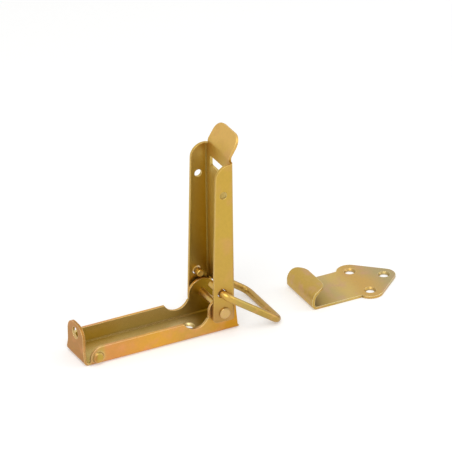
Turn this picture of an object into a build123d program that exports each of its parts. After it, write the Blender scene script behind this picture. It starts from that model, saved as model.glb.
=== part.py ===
from build123d import *
import os
from math import asin, cos, radians, sin

# Toggle latch with a wire bail, and its separate catch plate. Millimetres.
# X runs along the latch towards the catch plate, Z is up from the mounting face.
# The origin lies on the mounting face, midway between the two base screw holes.

# Sheet steel shared by the base, the lever and the catch plate
sheet = 1.5
bend_inside = 1.0
bend_outside = bend_inside + sheet

# Base channel
base_length = 90.0
base_width = 24.2
base_left = -41.0
base_right = base_left + base_length
wall_height = 10.3
wall_inset = 3.0
wall_end_radius = 6.8
pivot_from_right = 10.0
pivot_height = 13.0
pivot_x = base_right - pivot_from_right
ear_radius = 8.1
ear_back_foot = 9.3
notch_radius = 7.6
notch_from_pivot = 15.5
notch_height = 13.6
screw_hole = 4.6
screw_head = 6.6
screw_spacing = 50.0

# Upright tab at the left end, for a padlock
tab_width = 18.0
tab_foot_width = 20.6
tab_foot_straight = 3.0
tab_foot_top = 7.0
tab_top = 20.9
tab_corner = 7.0
padlock_hole = 6.6
padlock_hole_height = 15.2

# Pressed side bosses that steady the closed lever
boss_from_left = 7.3
boss_x = base_left + boss_from_left
boss_z = 4.4
boss_radius = 3.4
boss_top_radius = 2.6
boss_dimple_inset = 0.9
boss_gap = 0.4

# Lever, standing upright. Heights and depths are measured from the pivot axis.
lever_width = 30.2
lever_bottom = -5.0
web_face = 6.5
open_edge_low = -6.75
open_edge_high = -3.85
flange_top_radius = 7.5
flange_foot_radius = 2.5
web_bottom = 7.5
fold_lip = 1.0
# The slot meets the tab at the tab's own distance from the pivot, less the slope
# at which the closed lever lies.
tab_reach = pivot_x - base_left - sheet / 2
slot_shift = 1.2
slot_height = 5.7
slot_middle = tab_reach - slot_shift
slot_low = slot_middle - slot_height / 2
slot_high = slot_middle + slot_height / 2
slot_clearance = 0.3
slot_corner = 0.8
slot_to_top = 5.9
lever_top = slot_high + slot_to_top
safety_hole = 4.2
safety_hole_below_slot = 5.5
safety_hole_up = slot_low - safety_hole_below_slot

# Finger tab at the top of the lever
finger_width = 24.0
finger_above_flanges = 2.4
finger_start = lever_top + finger_above_flanges
finger_length = 12.0
finger_root = 3.0
finger_overlap = 1.0
finger_tilt = 32.0
finger_corner = 6.5
finger_bend = 3.0

# Pivot rivet
pin = 4.0
pin_play = 0.2
rivet_head = 6.2
rivet_rim = 0.65
rivet_crown = 4.6
rivet_crown_height = 0.45
rivet_gap = 0.05
collar_wall = 1.4
collar_gap = 0.25

# Wire bail
wire = 4.0
wire_hole = 5.2
wire_hole_x = -1.4
wire_hole_up = 12.1
wire_x = wire_hole_x + 0.1
wire_up = wire_hole_up - 0.3
leg_spacing = 37.4
bail_length = 39.2
bail_bend = 4.5
stub_near = 11.0
stub_far = 4.0
wire_end_chamfer = 0.4

# Catch plate
catch_neck = 29.0
catch_back_from_pivot = 52.3
catch_pair_from_pivot = 88.5
catch_pair_spacing = 23.0
catch_tip_step = 14.5
catch_pair_round = 7.2
catch_tip_round = 6.2
hook_top = 11.1
hook_bend = 1.2
hook_curl = 5.45
hook_lip = 3.2
hook_corner = 7.5

os.makedirs("parts", exist_ok=True)

lever_inside = lever_width / 2 - sheet
half_base = base_width / 2
boss_height = lever_inside - half_base - boss_gap


def countersunk_hole(x, y):
    # A through hole with a 90 degree countersink in a sheet lying on Z = 0
    with Locations((x, y, sheet / 2)):
        Cylinder(screw_hole / 2, 2 * sheet, mode=Mode.SUBTRACT)
    depth = (screw_head - screw_hole) / 2
    with Locations((x, y, sheet - depth / 2)):
        Cone(screw_hole / 2, screw_head / 2, depth, mode=Mode.SUBTRACT)


# Base channel: folded U section, cut to its side outline
wall_left = base_left + wall_inset
section_tall = 2 * (pivot_height + ear_radius)
section_length = base_right - wall_left

with BuildPart() as base_channel:
    with BuildSketch(Plane.YZ.offset(wall_left)):
        with Locations((0, section_tall / 2)):
            RectangleRounded(base_width, section_tall, bend_outside)
    extrude(amount=section_length)
    with BuildSketch(Plane.YZ.offset(wall_left)):
        with Locations((0, section_tall / 2 + sheet)):
            RectangleRounded(base_width - 2 * sheet, section_tall, bend_inside)
    extrude(amount=section_length, mode=Mode.SUBTRACT)
    # Side outline: wall with a rounded left end, notch, ear and floor
    with BuildSketch(Plane.XZ):
        with BuildLine():
            Polyline(
                (wall_left, 0),
                (wall_left, wall_height),
                (pivot_x, wall_height),
                (pivot_x + ear_radius, pivot_height),
                (pivot_x + ear_back_foot, 0),
                (wall_left, 0),
            )
        make_face()
        wall_corner = vertices().sort_by_distance((wall_left, wall_height))[0]
        fillet(wall_corner, wall_end_radius)
        with Locations((pivot_x, pivot_height)):
            Circle(ear_radius)
        with Locations((pivot_x - ear_radius / 2, pivot_height / 2)):
            Rectangle(ear_radius, pivot_height)
        with Locations((pivot_x - notch_from_pivot, notch_height)):
            Circle(notch_radius, mode=Mode.SUBTRACT)
        with Locations(((wall_left + base_right) / 2, sheet / 2)):
            Rectangle(base_right - wall_left, sheet)
    extrude(amount=base_width, both=True, mode=Mode.INTERSECT)
    # Bend from the floor up into the tab
    with BuildSketch(Plane.XZ):
        with BuildLine():
            FilletPolyline(
                (wall_left, sheet / 2),
                (base_left + sheet / 2, sheet / 2),
                (base_left + sheet / 2, tab_foot_straight),
                radius=bend_inside + sheet / 2,
            )
        trace(line_width=sheet)
    extrude(amount=tab_foot_width / 2, both=True)
    # Tab with rounded shoulders, widening to its foot
    with BuildSketch(Plane.YZ.offset(base_left)):
        with BuildLine():
            Polyline(
                (-tab_foot_width / 2, tab_foot_straight),
                (tab_foot_width / 2, tab_foot_straight),
                (tab_width / 2, tab_foot_top),
                (tab_width / 2, tab_top),
                (-tab_width / 2, tab_top),
                (-tab_width / 2, tab_foot_top),
                (-tab_foot_width / 2, tab_foot_straight),
            )
        make_face()
        tab_corners = vertices().group_by(Axis.Y)[-1]
        fillet(tab_corners, tab_corner)
        with Locations((0, padlock_hole_height)):
            Circle(padlock_hole / 2, mode=Mode.SUBTRACT)
    extrude(amount=sheet)
    # Plunged collars around the pivot holes, reaching towards the lever flanges
    with Locations(Location((pivot_x, 0, pivot_height), (90, 0, 0))):
        Cylinder(pin / 2 + collar_wall, 2 * (lever_inside - collar_gap))
        Cylinder(pin / 2 + collar_wall + 1, base_width - 2 * sheet, mode=Mode.SUBTRACT)
        Cylinder(pin / 2, 2 * lever_width, mode=Mode.SUBTRACT)
    # Flat-topped side bosses with their dimples inside
    for side in (1, -1):
        for face, inset, mode in (
            (half_base, 0, Mode.ADD),
            (half_base - sheet, boss_dimple_inset, Mode.SUBTRACT),
        ):
            foot = face - sheet / 2
            top = face + boss_height
            with BuildSketch(Plane.XY.offset(boss_z)):
                with BuildLine():
                    Polyline(
                        (boss_x, side * foot),
                        (boss_x + boss_radius - inset, side * foot),
                        (boss_x + boss_radius - inset, side * face),
                        (boss_x + boss_top_radius - inset, side * top),
                        (boss_x, side * top),
                        (boss_x, side * foot),
                    )
                make_face()
            revolve(axis=Axis((boss_x, 0, boss_z), (0, 1, 0)), mode=mode)
    countersunk_hole(-screw_spacing / 2, 0)
    countersunk_hole(screw_spacing / 2, 0)

# Lever: folded U section standing upright, open towards the left
with BuildPart() as lever:
    blank = 40.0
    lever_height = lever_top - lever_bottom
    with BuildSketch(Plane.XY.offset(pivot_height + lever_bottom)):
        with Locations((pivot_x + web_face - blank / 2, 0)):
            RectangleRounded(blank, lever_width, bend_outside)
    extrude(amount=lever_height)
    with BuildSketch(Plane.XY.offset(pivot_height + lever_bottom)):
        with Locations((pivot_x + web_face - sheet - blank / 2, 0)):
            RectangleRounded(blank, 2 * lever_inside, bend_inside)
    extrude(amount=lever_height, mode=Mode.SUBTRACT)
    with BuildSketch(Plane.XZ):
        foot = pivot_height + lever_bottom
        head = pivot_height + lever_top
        with BuildLine():
            Polyline(
                (pivot_x + open_edge_low, foot),
                (pivot_x + open_edge_high, head),
                (pivot_x + web_face, head),
                (pivot_x + web_face, foot),
                (pivot_x + open_edge_low, foot),
            )
        make_face()
        open_top = vertices().sort_by_distance((pivot_x - blank, head))[0]
        fillet(open_top, flange_top_radius)
        fillet(vertices().group_by(Axis.Y)[0], flange_foot_radius)
    extrude(amount=lever_width, both=True, mode=Mode.INTERSECT)
    # The web stops above the base ears, between the folded corners
    web_cut = web_bottom - lever_bottom
    with Locations((pivot_x + web_face, 0, foot + web_cut / 2)):
        Box(4 * sheet, 2 * (lever_inside - fold_lip), web_cut, mode=Mode.SUBTRACT)
    # Slot that drops over the upright tab
    with BuildSketch(Plane.YZ.offset(pivot_x)):
        with Locations((0, pivot_height + slot_middle)):
            RectangleRounded(tab_width + 2 * slot_clearance, slot_height, slot_corner)
    extrude(amount=2 * web_face, mode=Mode.SUBTRACT)
    # Finger tab, bent away from the open side
    web_mid = pivot_x + web_face - sheet / 2
    tilt = radians(finger_tilt)
    finger_z = pivot_height + finger_start
    with BuildSketch(Plane.XZ):
        with BuildLine():
            FilletPolyline(
                (web_mid, head - 2 * sheet),
                (web_mid, finger_z),
                (web_mid + finger_root * sin(tilt), finger_z + finger_root * cos(tilt)),
                radius=finger_bend,
            )
        trace(line_width=sheet)
    extrude(amount=finger_width / 2, both=True)
    finger_plane = Plane(
        origin=(web_mid, 0, finger_z),
        x_dir=(0, 1, 0),
        z_dir=(cos(tilt), 0, -sin(tilt)),
    )
    with BuildSketch(finger_plane):
        plate = finger_length - finger_root + finger_overlap
        with Locations((0, finger_length - plate / 2)):
            Rectangle(finger_width, plate)
        finger_tips = vertices().group_by(Axis.Y)[-1]
        fillet(finger_tips, finger_corner)
    extrude(amount=sheet / 2, both=True)
    # Pivot, bail and safety holes across both flanges
    with Locations(Location((pivot_x, 0, pivot_height), (90, 0, 0))):
        Cylinder((pin + pin_play) / 2, 2 * lever_width, mode=Mode.SUBTRACT)
    with Locations(Location((pivot_x + wire_hole_x, 0, pivot_height + wire_hole_up), (90, 0, 0))):
        Cylinder(wire_hole / 2, 2 * lever_width, mode=Mode.SUBTRACT)
    with Locations(Location((pivot_x, 0, pivot_height + safety_hole_up), (90, 0, 0))):
        Cylinder(safety_hole / 2, 2 * lever_width, mode=Mode.SUBTRACT)

# Pivot rivet: one pin through ears and flanges, a flat bevelled head at each end
with BuildPart() as pivot_rivet:
    shank = lever_width / 2 + rivet_gap
    rim = shank + rivet_rim
    crown = rim + rivet_crown_height
    with BuildSketch(Plane.XY.offset(pivot_height)):
        with BuildLine():
            Polyline(
                (pivot_x, -crown),
                (pivot_x, crown),
                (pivot_x + rivet_crown / 2, crown),
                (pivot_x + rivet_head / 2, rim),
                (pivot_x + rivet_head / 2, shank),
                (pivot_x + pin / 2, shank),
                (pivot_x + pin / 2, -shank),
                (pivot_x + rivet_head / 2, -shank),
                (pivot_x + rivet_head / 2, -rim),
                (pivot_x + rivet_crown / 2, -crown),
                (pivot_x, -crown),
            )
        make_face()
    revolve(axis=Axis((pivot_x, 0, pivot_height), (0, 1, 0)))

# Wire bail: its end bar lies on the mounting face
bail_drop = pivot_height + wire_up - wire / 2
bail_angle = asin(bail_drop / bail_length)
bail_plane = Plane(
    origin=(pivot_x + wire_x, 0, pivot_height + wire_up),
    x_dir=(cos(bail_angle), 0, -sin(bail_angle)),
    z_dir=(sin(bail_angle), 0, cos(bail_angle)),
)
half_leg = leg_spacing / 2
with BuildPart() as wire_bail:
    with BuildLine(bail_plane) as bail_path:
        FilletPolyline(
            (0, -(lever_inside - stub_near)),
            (0, -half_leg),
            (bail_length, -half_leg),
            (bail_length, half_leg),
            (0, half_leg),
            (0, lever_inside - stub_far),
            radius=bail_bend,
        )
    with BuildSketch(Plane(bail_path.wire() ^ 0)):
        Circle(wire / 2)
    sweep(path=bail_path.wire())
    chamfer(wire_bail.faces().filter_by(GeomType.PLANE).edges(), wire_end_chamfer)

# Catch plate: flat head with three screw holes and a curled hook
catch_back = pivot_x + catch_back_from_pivot
pair_x = pivot_x + catch_pair_from_pivot
tip_x = pair_x + catch_tip_step
half_pair = catch_pair_spacing / 2
with BuildPart() as catch_plate:
    neck_start = catch_back + hook_bend + sheet
    with BuildSketch():
        with Locations((pair_x, half_pair), (pair_x, -half_pair)):
            Circle(catch_pair_round)
        with Locations((tip_x, 0)):
            Circle(catch_tip_round)
        make_hull()
        with Locations(((neck_start + pair_x) / 2, 0)):
            Rectangle(pair_x - neck_start, catch_neck)
    extrude(amount=sheet)
    # Hook: the sheet turns up, then curls back over the plate
    riser = catch_back + sheet / 2
    lip_z = hook_top - sheet / 2
    curl_z = lip_z - hook_curl
    curl_x = riser + hook_curl
    lip_x = curl_x + hook_lip
    with BuildSketch(Plane.XZ):
        with BuildLine():
            FilletPolyline(
                (neck_start + sheet, sheet / 2),
                (riser, sheet / 2),
                (riser, curl_z),
                radius=hook_bend + sheet / 2,
            )
            CenterArc((curl_x, curl_z), hook_curl, 90, 90)
            Line((curl_x, lip_z), (lip_x, lip_z))
        trace(line_width=sheet)
    extrude(amount=catch_neck / 2, both=True)
    # Rounded corners at the hook's free edge
    with BuildSketch(Plane.XY.offset(curl_z)):
        with Locations((lip_x, 0)):
            Rectangle(2 * hook_corner, 2 * catch_neck)
        with Locations((lip_x - 2 * hook_corner, 0)):
            RectangleRounded(4 * hook_corner, catch_neck, hook_corner, mode=Mode.SUBTRACT)
    extrude(amount=hook_top, mode=Mode.SUBTRACT)
    countersunk_hole(pair_x, half_pair)
    countersunk_hole(pair_x, -half_pair)
    countersunk_hole(tip_x, 0)

for item, name in (
    (base_channel, "base_channel"),
    (lever, "lever"),
    (pivot_rivet, "pivot_rivet"),
    (wire_bail, "wire_bail"),
    (catch_plate, "catch_plate"),
):
    item.part.label = name
    export_step(item.part, "parts/" + name + ".step")
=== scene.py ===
"""Finishes, floor, light and camera for the toggle latch, its wire bail and its catch plate."""

import math

import bpy
from mathutils import Matrix, Vector

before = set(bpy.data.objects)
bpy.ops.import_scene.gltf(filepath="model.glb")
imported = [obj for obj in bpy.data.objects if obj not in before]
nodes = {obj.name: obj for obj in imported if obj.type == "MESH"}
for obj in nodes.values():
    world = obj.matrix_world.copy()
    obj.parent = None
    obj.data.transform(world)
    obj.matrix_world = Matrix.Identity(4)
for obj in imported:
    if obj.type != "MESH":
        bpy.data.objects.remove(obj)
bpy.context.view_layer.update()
scene = bpy.context.scene
MM = 0.001


# Colours and nodes


def paint(hex_code):
    """A colour written as sRGB hex, turned to the linear values that shaders take."""
    channels = [int(hex_code[i : i + 2], 16) / 255 for i in (1, 3, 5)]
    linear = [c / 12.92 if c <= 0.04045 else ((c + 0.055) / 1.055) ** 2.4 for c in channels]
    return (*linear, 1.0)


def add(tree, kind, settings=None, **inputs):
    """Adds one node, sets its properties, and links or fills its inputs. An input goes by its name,
    with _ for a space, or by its number as _0 or _1 on a node that gives several the same name."""
    node = tree.nodes.new(kind)
    for name, value in (settings or {}).items():
        setattr(node, name, value)
    for name, value in inputs.items():
        if name[0] == "_":
            socket = node.inputs[int(name[1:])]
        else:
            plain_name = name.replace("_", " ")
            socket = next(s for s in node.inputs if s.name == plain_name and s.enabled)
        if isinstance(value, bpy.types.NodeSocket):
            tree.links.new(value, socket)
        else:
            socket.default_value = value
    return node


def ramp_stops(node, stops):
    """Writes the stops of a colour ramp: (place, hex colour)."""
    elements = node.color_ramp.elements
    while len(elements) < len(stops):
        elements.new(0.5)
    for element, (place, colour) in zip(elements, stops):
        element.position = place
        element.color = paint(colour)


def ranged(tree, value, source, target=(0.0, 1.0)):
    """A value brought from one range to another and held inside it."""
    node = add(
        tree,
        "ShaderNodeMapRange",
        Value=value,
        From_Min=source[0],
        From_Max=source[1],
        To_Min=target[0],
        To_Max=target[1],
    )
    return node.outputs["Result"]


def worked_out(tree, operation, first, second):
    """A number worked out from two others."""
    node = add(tree, "ShaderNodeMath", {"operation": operation}, _0=first, _1=second)
    return node.outputs["Value"]


def mixed(tree, factor, first, second, blend="MIX"):
    """A colour mixed from two others."""
    settings = {"data_type": "RGBA", "blend_type": blend}
    node = add(tree, "ShaderNodeMix", settings, Factor=factor, A=first, B=second)
    return node.outputs[2]


def noise(tree, place, grain, detail, roughness=0.5, seed=None):
    """Soft noise, its grain in millimetres. Another seed gives another pattern."""
    pattern = {} if seed is None else {"W": seed}
    node = add(
        tree,
        "ShaderNodeTexNoise",
        {"noise_dimensions": "3D" if seed is None else "4D"},
        Vector=place,
        Scale=1 / (grain * MM),
        Detail=detail,
        Roughness=roughness,
        **pattern,
    )
    return node.outputs["Fac"]


def own_sky(tree, reach, samples):
    """The share of open sky that a piece's own sheet leaves to a spot within a reach."""
    settings = {"samples": samples, "only_local": True}
    node = add(tree, "ShaderNodeAmbientOcclusion", settings, Distance=reach * MM)
    return node.outputs["AO"]


def fresh_material(name):
    """A material with an empty node tree."""
    material = bpy.data.materials.new(name)
    material.use_nodes = True
    material.node_tree.nodes.clear()
    return material, material.node_tree


# Yellow passivated zinc. Lengths are in millimetres. Pairs are ranges: a NOISE pair of a noise's
# values, and a SKY pair of the share of open sky that a piece's own sheet leaves to a spot.

# How far the clouds push the tint along a piece, as a share of its span
CLOUD_SWAY = 0.05
CLOUD_NOISE = (0.25, 0.75)
# How far off a wall still puts painted shade on a spot
FOLD_SHADE_REACH = 30
FOLD_SHADE_SKY = (0.45, 0.95)
# The rose spots' size as a share of the clouds', their seed's step from the clouds' seed, how much
# of the rose shows in them, and how far into a fold they go
SPOT_SHARE = 0.45
SPOT_NOISE = (0.50, 0.72)
SPOT_SEED = 11
BLUSH_AMOUNT = 0.6
BLUSH_FOLDED = (0.1, 0.6)
# A crease, and what is left of the colour under the painted shade in it
CREASE_REACH = 2.5
CREASE_SKY = (0.55, 0.94)
CREASE_SHADE_DEPTH = 0.94
# Pooled film and painted shade inside a tight bend, and the largest part of the normal there and on
# the flat sheet
BEND_SHADE_BROWN = "#705212"
BEND_NORMAL = (0.88, 0.99)
BEND_SKY = (0.82, 0.96)
# Mottling: its grain, and what it does to the colour and to the roughness
MOTTLE_GRAIN = 1.3
MOTTLE_NOISE = (0.3, 0.7)
MOTTLE_GAIN = (0.95, 1.04)
MOTTLE_ROUGHENING = (-0.03, 0.04)
# Rolling lines: their spacing and their length along the strip. Real ones are a few hundredths of
# a millimetre apart, drawn coarser so that they show.
ROLLING_SPACING = 0.35
ROLLING_LENGTH = 14
# How far in from an edge the film is worn and a painted highlight lies, how much of the film is
# gone under the highlight, and the agreement of the rounded normal with the flat one, from sheet to
# edge
EDGE_REACH = 0.45
EDGE_RUB_AND_HIGHLIGHT = 0.72
EDGE_NORMAL = (0.985, 0.87)
EDGE_SKY = (0.80, 0.97)
# Height of the relief, how strongly it is drawn, and the mottling's share in it
RELIEF_HEIGHT = 0.05
RELIEF_STRENGTH = 0.22
RELIEF_FROM_MOTTLE = 0.35


def along_the_piece(tree, place, axis, span, blotch, seed):
    """Where a spot lies along its piece, from 0 to 1. Soft clouds of the film, a few to each face,
    push it to and fro."""
    apart = add(tree, "ShaderNodeSeparateXYZ", Vector=place)
    along = ranged(tree, apart.outputs[axis], span)
    clouds = noise(tree, place, blotch, detail=2.0, roughness=0.45, seed=seed)
    sway = ranged(tree, clouds, CLOUD_NOISE, (-CLOUD_SWAY, CLOUD_SWAY))
    return worked_out(tree, "ADD", along, sway)


def tint_along_piece(tree, drift, stops):
    """The tint along a piece: the film's drift, with painted light and shade where light falls
    differently along the piece.
    """
    ramp = add(tree, "ShaderNodeValToRGB", Fac=drift)
    ramp.color_ramp.interpolation = "EASE"
    ramp_stops(ramp, stops)
    return ramp.outputs["Color"]


def film_and_painted_shading(tree, drift, fold_shade_mask, open_film_and_light, channel_floor_shading, fold_wall_shade):
    """The colour by its place: the film's tint with painted light and shade in the open, painted
    shade on the walls inside a fold, and painted light and shade on the floor of a channel, where a
    spot is half enclosed."""
    in_the_open = tint_along_piece(tree, drift, open_film_and_light)
    shade_on_the_walls = tint_along_piece(tree, drift, fold_wall_shade)
    shading_on_the_floor = tint_along_piece(tree, drift, channel_floor_shading)
    # Painted shade on the walls inside a fold, and painted light and shade on the floor of a
    # channel
    film = mixed(tree, fold_shade_mask, in_the_open, shade_on_the_walls)
    half_folded = worked_out(tree, "PINGPONG", fold_shade_mask, 0.5)
    half_enclosed = worked_out(tree, "MULTIPLY", half_folded, 2.0)
    return mixed(tree, half_enclosed, film, shading_on_the_floor)


def blushed(tree, place, fold_shade_mask, film, blush, blotch, seed):
    """Small spots in the open where the film is thinnest and turns rose."""
    spots = noise(tree, place, SPOT_SHARE * blotch, detail=1.5, seed=seed + SPOT_SEED)
    blushing = ranged(tree, spots, SPOT_NOISE, (0.0, BLUSH_AMOUNT))
    only_open = ranged(tree, fold_shade_mask, BLUSH_FOLDED, (blushing, 0.0))
    return mixed(tree, only_open, film, paint(blush))


def pooled_and_shaded_in_bends(tree, film, normal, sky_near):
    """The film pools plain brown on the tight inside of a bend, and painted shade lies there too,
    where the normal leaves the three directions of the flat sheet."""
    unsigned = add(tree, "ShaderNodeVectorMath", {"operation": "ABSOLUTE"}, _0=normal)
    parts = add(tree, "ShaderNodeSeparateXYZ", Vector=unsigned.outputs["Vector"])
    larger = worked_out(tree, "MAXIMUM", parts.outputs["X"], parts.outputs["Y"])
    largest = worked_out(tree, "MAXIMUM", larger, parts.outputs["Z"])
    flatness = ranged(tree, largest, BEND_NORMAL)
    off_the_bend = ranged(tree, sky_near, BEND_SKY, (flatness, 1.0))
    # Painted shade, with pooled film, on the tight inside of a bend
    return mixed(tree, off_the_bend, paint(BEND_SHADE_BROWN), film)


def mottled_and_crease_shaded(tree, film, mottle, sky_near):
    """The tint goes up and down with the mottling, and takes a little painted shade down in a
    crease.
    """
    mottle_gain = ranged(tree, mottle, MOTTLE_NOISE, MOTTLE_GAIN)
    # Painted shade down in a crease
    crease_shade = ranged(tree, sky_near, CREASE_SKY, (CREASE_SHADE_DEPTH, 1.0))
    gain = worked_out(tree, "MULTIPLY", mottle_gain, crease_shade)
    return mixed(tree, 1.0, film, gain, blend="MULTIPLY")


def rubbed_and_highlit_edges(tree, film, rounded, sky_near, edge_wear_and_highlight):
    """Edges are worn pale and carry a painted highlight where a rounded normal leaves the flat one,
    but not down in a fold.
    """
    flat = add(tree, "ShaderNodeNewGeometry").outputs["Normal"]
    agree = add(tree, "ShaderNodeVectorMath", {"operation": "DOT_PRODUCT"}, _0=rounded, _1=flat)
    # Wear and a painted highlight along the edges
    rubbed_and_highlit = ranged(tree, agree.outputs["Value"], EDGE_NORMAL, (0.0, EDGE_RUB_AND_HIGHLIGHT))
    reached = ranged(tree, sky_near, EDGE_SKY)
    wear_and_highlight = worked_out(tree, "MULTIPLY", rubbed_and_highlit, reached)
    return mixed(tree, wear_and_highlight, film, paint(edge_wear_and_highlight))


def sheet_relief(tree, place, axis, mottle, rounded):
    """Fine rolling lines along the strip, under the mottling."""
    stretch = [1 / (ROLLING_SPACING * MM)] * 3
    stretch["XYZ".index(axis)] = 1 / (ROLLING_LENGTH * MM)
    strip = add(tree, "ShaderNodeMapping", Vector=place, Scale=stretch)
    stretched = strip.outputs["Vector"]
    lines = add(tree, "ShaderNodeTexNoise", Vector=stretched, Scale=1.0, Detail=2.0)
    height = add(
        tree,
        "ShaderNodeMix",
        {"data_type": "FLOAT"},
        Factor=RELIEF_FROM_MOTTLE,
        A=lines.outputs["Fac"],
        B=mottle,
    )
    relief = add(
        tree,
        "ShaderNodeBump",
        Strength=RELIEF_STRENGTH,
        Distance=RELIEF_HEIGHT * MM,
        Height=height.outputs[0],
        Normal=rounded,
    )
    return relief.outputs["Normal"]


def passivated_zinc(
    name, axis, span, open_film_and_light, channel_floor_shading, fold_wall_shade, blush, edge_wear_and_highlight, blotch, roughness, seed
):
    """Zinc plate under a yellow chromate film. The film is thin and uneven, so the gold drifts to
    rose and to olive along each piece and in soft clouds. The tint along each piece also carries
    painted light and shade, and painted shade lies darker and greener inside the folds. The rolled
    sheet under it keeps fine lines along the strip, and the cut edges are worn pale and carry a
    painted highlight."""
    material, tree = fresh_material(name)
    own_frame = add(tree, "ShaderNodeTexCoord")
    place = own_frame.outputs["Object"]
    drift = along_the_piece(tree, place, axis, span, blotch, seed)

    # 1 where the piece's own sheet stands all round a spot, down to 0 in the open: how much painted
    # shade the folds get
    sky_far = own_sky(tree, FOLD_SHADE_REACH, samples=12)
    fold_shade_mask = ranged(tree, sky_far, FOLD_SHADE_SKY, (1.0, 0.0))
    sky_near = own_sky(tree, CREASE_REACH, samples=8)

    # Small mottling where the plating has grown unevenly
    mottle = noise(tree, place, MOTTLE_GRAIN, detail=3.0, roughness=0.6)
    rounding = add(tree, "ShaderNodeBevel", {"samples": 6}, Radius=EDGE_REACH * MM)
    rounded = rounding.outputs["Normal"]

    film = film_and_painted_shading(tree, drift, fold_shade_mask, open_film_and_light, channel_floor_shading, fold_wall_shade)
    film = blushed(tree, place, fold_shade_mask, film, blush, blotch, seed)
    film = pooled_and_shaded_in_bends(tree, film, own_frame.outputs["Normal"], sky_near)
    film = mottled_and_crease_shaded(tree, film, mottle, sky_near)
    film = rubbed_and_highlit_edges(tree, film, rounded, sky_near, edge_wear_and_highlight)

    roughnesses = [roughness + change for change in MOTTLE_ROUGHENING]
    shader = add(
        tree,
        "ShaderNodeBsdfPrincipled",
        Base_Color=film,
        Metallic=1.0,
        Roughness=ranged(tree, mottle, MOTTLE_NOISE, roughnesses),
        Normal=sheet_relief(tree, place, axis, mottle, rounded),
    )
    add(tree, "ShaderNodeOutputMaterial", Surface=shader.outputs["BSDF"])
    return material


def ends(node_name, axis):
    """Where a piece starts and ends along an axis of its own frame, in metres."""
    places = [corner["XYZ".index(axis)] for corner in nodes[node_name].bound_box]
    return min(places), max(places)


# The size of each piece's clouds, its blotch, is in millimetres
# The tints along each piece follow its tones as they are lit, so they carry painted light and shade
# besides the film's drift: the lever darker towards its foot and lighter up at its finger tab. The
# edge colours are worn film with a painted highlight.
finishes = {
    "base_channel": passivated_zinc(
        "yellow_passivated_zinc_base",
        axis="X",
        span=ends("base_channel", "X"),
        open_film_and_light=[
            (0.035, "#B27F3E"),
            (0.055, "#B8A048"),
            (0.07, "#BCA04A"),
            (0.12, "#D29552"),
            (0.46, "#D8A344"),
            (0.72, "#C89C4C"),
            (0.95, "#C58E28"),
        ],
        channel_floor_shading=[(0.1, "#E8D49A"), (0.72, "#E6D49E"), (0.84, "#A08222")],
        fold_wall_shade=[
            (0.10, "#B49A44"),
            (0.45, "#B0A068"),
            (0.70, "#B09E66"),
            (0.90, "#866A0A"),
        ],
        blush="#DC9A66",
        edge_wear_and_highlight="#FFE2A8",
        blotch=16,
        roughness=0.45,
        seed=1.7,
    ),
    "lever": passivated_zinc(
        "yellow_passivated_zinc_lever",
        axis="Z",
        span=ends("lever", "Z"),
        open_film_and_light=[
            (0.02, "#B0884A"),
            (0.16, "#C29E4C"),
            (0.55, "#C4A248"),
            (0.86, "#C5A148"),
            (0.95, "#D8AF60"),
        ],
        channel_floor_shading=[
            (0.10, "#B89838"),
            (0.30, "#D6C474"),
            (0.72, "#D8C67C"),
            (0.90, "#BC9046"),
        ],
        fold_wall_shade=[
            (0.08, "#765400"),
            (0.28, "#A88010"),
            (0.48, "#B48A18"),
            (0.85, "#B48C28"),
        ],
        blush="#CC9C60",
        edge_wear_and_highlight="#EACB84",
        blotch=20,
        roughness=0.42,
        seed=4.2,
    ),
    "pivot_rivet": passivated_zinc(
        "yellow_passivated_zinc_rivet",
        axis="Y",
        span=ends("pivot_rivet", "Y"),
        open_film_and_light=[(0.0, "#CBA86A"), (0.5, "#CDAE66"), (1.0, "#CBA86A")],
        channel_floor_shading=[(0.0, "#C0A660"), (1.0, "#C0A660")],
        fold_wall_shade=[(0.0, "#A89050"), (1.0, "#A89050")],
        blush="#D0A27A",
        edge_wear_and_highlight="#EED690",
        blotch=5,
        roughness=0.34,
        seed=2.1,
    ),
    "wire_bail": passivated_zinc(
        "yellow_passivated_zinc_wire",
        axis="X",
        span=ends("wire_bail", "X"),
        open_film_and_light=[(0.1, "#C8A250"), (0.35, "#B69C54"), (0.6, "#B2944A"), (0.95, "#B4904E")],
        channel_floor_shading=[(0.0, "#B89C54"), (1.0, "#B89C54")],
        fold_wall_shade=[(0.0, "#A08440"), (1.0, "#A08440")],
        blush="#CC9A62",
        edge_wear_and_highlight="#E8CC80",
        blotch=7,
        roughness=0.34,
        seed=7.4,
    ),
    "catch_plate": passivated_zinc(
        "yellow_passivated_zinc_catch",
        axis="X",
        span=ends("catch_plate", "X"),
        open_film_and_light=[
            (0.08, "#C1A050"),
            (0.20, "#C2A454"),
            (0.30, "#C2AA70"),
            (0.44, "#CEB066"),
            (0.62, "#C9A257"),
            (0.90, "#B2A070"),
        ],
        channel_floor_shading=[(0.1, "#A88E48"), (0.3, "#B0985C")],
        fold_wall_shade=[(0.1, "#94783A"), (0.3, "#988048")],
        blush="#C89A80",
        edge_wear_and_highlight="#FFF4C8",
        blotch=13,
        roughness=0.42,
        seed=3.3,
    ),
}
for node_name, material in finishes.items():
    for slot in nodes[node_name].material_slots:
        slot.material = material


# Floor and surroundings

# The floor's size in metres, and how far it lies under the part so that the two never fight
FLOOR_RADIUS = 3.0
FLOOR_DROP = 0.2 * MM
# Tooth of the paper, in millimetres, drawn coarser than real so that it shows
PAPER_TOOTH = 0.8
# White added to the paper where it is seen, and the sky's brightness as light and as seen
PAPER_LIFT = 0.34
SKY_AS_LIGHT = 0.62
SKY_AS_SEEN = 1.0


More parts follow.
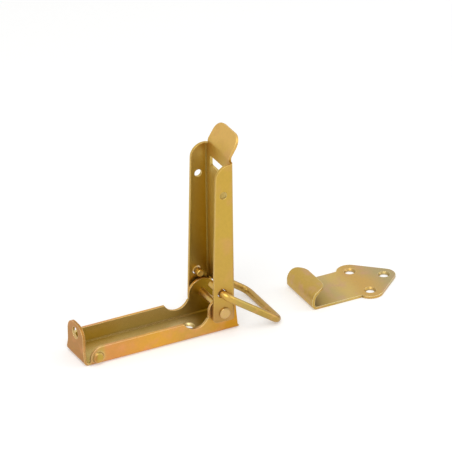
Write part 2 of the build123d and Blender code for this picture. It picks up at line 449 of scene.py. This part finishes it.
def seen_directly(tree):
    """1 for rays that show the surroundings as they are: in the camera, in a mirror and through
    glass."""
    path = add(tree, "ShaderNodeLightPath")
    mirror = worked_out(
        tree, "MAXIMUM", path.outputs["Is Camera Ray"], path.outputs["Is Glossy Ray"]
    )
    return worked_out(tree, "MAXIMUM", mirror, path.outputs["Is Transmission Ray"])


def white_backdrop_paper():
    """Matt white paper with a faint tooth. It takes the part's shadow and otherwise melts into the
    white behind it."""
    material, tree = fresh_material("white_backdrop_paper")
    own_frame = add(tree, "ShaderNodeTexCoord")
    tooth = noise(tree, own_frame.outputs["Object"], PAPER_TOOTH, detail=2.0)
    tone = add(tree, "ShaderNodeValToRGB", Fac=tooth)
    ramp_stops(tone, [(0.3, "#E4E4E3"), (0.7, "#E8E8E7")])
    paper = add(tree, "ShaderNodeBsdfDiffuse", Color=tone.outputs["Color"])
    lift = worked_out(tree, "MULTIPLY", seen_directly(tree), PAPER_LIFT)
    lifted = add(tree, "ShaderNodeEmission", Color=paint("#FFFFFF"), Strength=lift)
    both = add(tree, "ShaderNodeAddShader", _0=paper.outputs[0], _1=lifted.outputs[0])
    add(tree, "ShaderNodeOutputMaterial", Surface=both.outputs[0])
    return material


bpy.ops.object.select_all(action="DESELECT")
bpy.ops.mesh.primitive_circle_add(
    vertices=96, radius=FLOOR_RADIUS, fill_type="NGON", location=(0, 0, -FLOOR_DROP)
)
floor = bpy.context.object
floor.name = "studio_floor"
bpy.ops.object.transform_apply(location=True, rotation=True, scale=True)
floor.data.materials.append(white_backdrop_paper())

world = bpy.data.worlds.new("white_studio")
world.use_nodes = True
scene.world = world
sky = world.node_tree
sky.nodes.clear()
fill = add(sky, "ShaderNodeBackground", Color=paint("#FFFFFF"), Strength=SKY_AS_LIGHT)
white = add(sky, "ShaderNodeBackground", Color=paint("#FFFFFF"), Strength=SKY_AS_SEEN)
studio = add(
    sky,
    "ShaderNodeMixShader",
    _0=seen_directly(sky),
    _1=fill.outputs[0],
    _2=white.outputs[0],
)
add(sky, "ShaderNodeOutputWorld", Surface=studio.outputs[0])


# Lamps, in metres and watts


def softbox(name, place, target, width, power):
    """A square lamp that faces its target."""
    lamp = bpy.data.lights.new(name, "AREA")
    lamp.shape = "SQUARE"
    lamp.size = width
    lamp.energy = power
    box = bpy.data.objects.new(name, lamp)
    scene.collection.objects.link(box)
    box.location = place
    box.rotation_euler = (Vector(target) - Vector(place)).to_track_quat("-Z", "Y").to_euler()


middle = (0.055, 0.0, 0.03)
softbox("key_softbox", (-0.35, -0.55, 0.95), middle, width=0.7, power=5.0)
softbox("side_softbox", (0.9, -0.35, 0.55), middle, width=0.6, power=1.6)


# Camera

# The photograph's camera: turned and raised as seen, 3.5 m off, so nearly without perspective.
# The anchor is a point on the part, in millimetres, and its place in the picture, in pixels.
azimuth, elevation, roll = (math.radians(v) for v in (26.977, 28.704, -0.753))
distance = 3.5
pixels_per_mm = 1.9056
picture_pixels = 452
anchor = Vector((39.0, 0.0, 30.0)) * MM
anchor_right, anchor_down = 211.279, 272.241
sensor_width = 36.0

back = Vector(
    (
        -math.sin(azimuth) * math.cos(elevation),
        -math.cos(azimuth) * math.cos(elevation),
        math.sin(elevation),
    )
)
level_right = Vector((math.cos(azimuth), -math.sin(azimuth), 0.0))
level_up = back.cross(level_right)
right = level_right * math.cos(roll) + level_up * math.sin(roll)
up = level_up * math.cos(roll) - level_right * math.sin(roll)
metres_per_pixel = MM / pixels_per_mm
aim = (
    anchor
    + right * (picture_pixels / 2 - anchor_right) * metres_per_pixel
    - up * (picture_pixels / 2 - anchor_down) * metres_per_pixel
)
camera_data = bpy.data.cameras.new("photo_camera")
camera_data.sensor_width = sensor_width
camera_data.lens = sensor_width * distance / (picture_pixels * metres_per_pixel)
camera_data.clip_start = 0.1
camera_data.clip_end = 100.0
camera = bpy.data.objects.new("photo_camera", camera_data)
scene.collection.objects.link(camera)
facing = Matrix((right, up, back)).transposed()
camera.matrix_world = Matrix.Translation(aim + back * distance) @ facing.to_4x4()
scene.camera = camera

scene.view_settings.view_transform = "Standard"
